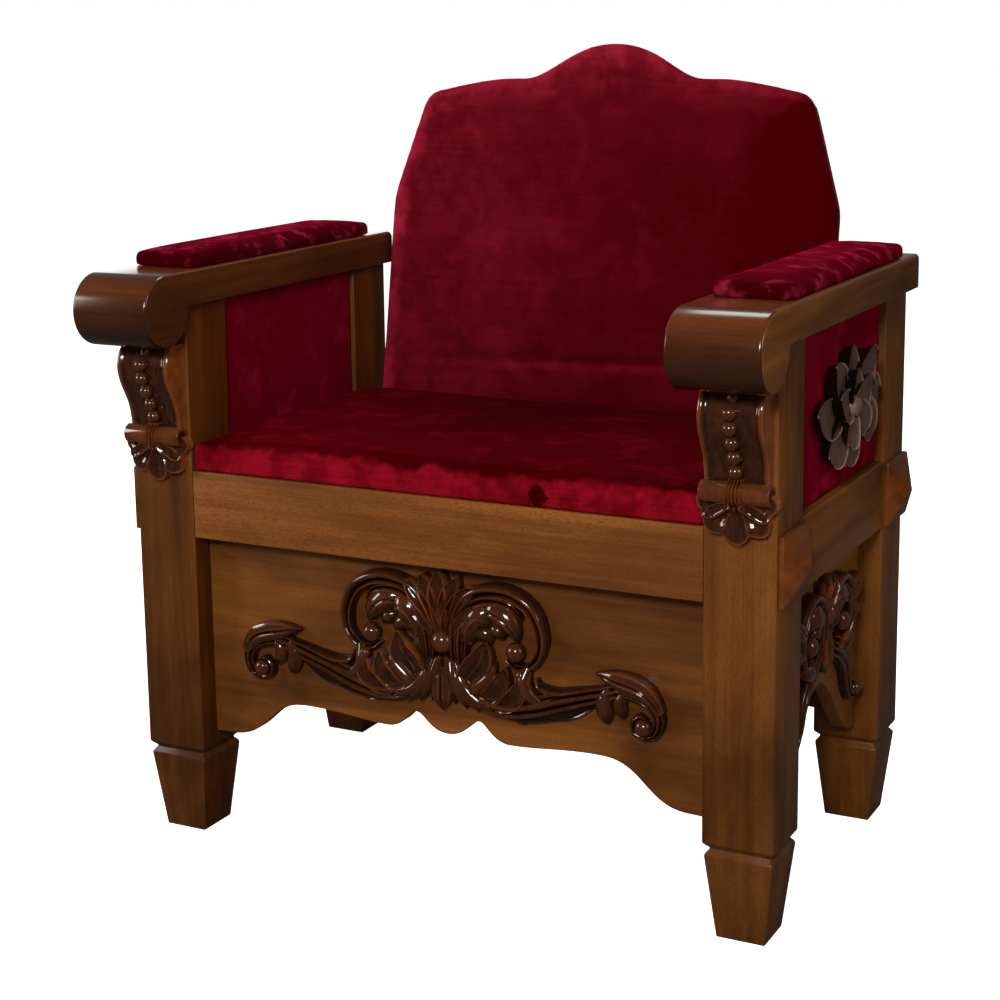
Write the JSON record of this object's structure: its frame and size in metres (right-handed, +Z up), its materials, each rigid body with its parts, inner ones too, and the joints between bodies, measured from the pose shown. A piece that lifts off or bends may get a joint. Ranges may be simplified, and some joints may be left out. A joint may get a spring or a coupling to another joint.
{
  "type": "throne armchair",
  "caption": "Wide ceremonial armchair of varnished wood with rolled arms, carved onlays and corbels, diamond studs and velvet seat, back and arm pads.",
  "frame": {"origin": "on the floor, under the middle of the whole throne's box", "axes": "+X towards the sitter's left hand, +Y towards the back, +Z up; the sitter faces -Y, and nodes called right are on the +X side, the viewer's right from the front"},
  "size_m": [0.8486, 0.6222, 0.9385],
  "materials": {
    "varnished_wood": "satin",
    "dark_wood": "gloss",
    "carved_wood": "gloss",
    "plywood": "matte",
    "velvet": "pile"
  },
  "bodies": {
    "root": {"arm_left": "dark_wood", "arm_pad_left": "velvet", "arm_pad_right": "velvet", "arm_right": "dark_wood", "back_apron": "varnished_wood", "back_board": "dark_wood", "back_cushion": "velvet", "back_leg_left": "varnished_wood", "back_leg_right": "varnished_wood", "back_rail": "varnished_wood", "back_stud_left": "dark_wood", "back_stud_right": "dark_wood", "corbel_left": "carved_wood", "corbel_right": "carved_wood", "front_apron": "varnished_wood", "front_leg_left": "varnished_wood", "front_leg_right": "varnished_wood", "front_onlay": "carved_wood", "front_rail": "varnished_wood", "front_stud_left": "dark_wood", "front_stud_right": "dark_wood", "rosette_left": "carved_wood", "rosette_right": "carved_wood", "seat_board": "plywood", "seat_cushion": "velvet", "side_apron_left": "varnished_wood", "side_apron_right": "varnished_wood", "side_onlay_left": "carved_wood", "side_onlay_right": "carved_wood", "side_panel_left": "velvet", "side_panel_right": "velvet", "side_rail_left": "varnished_wood", "side_rail_right": "varnished_wood"}
  },
  "joints": []
}
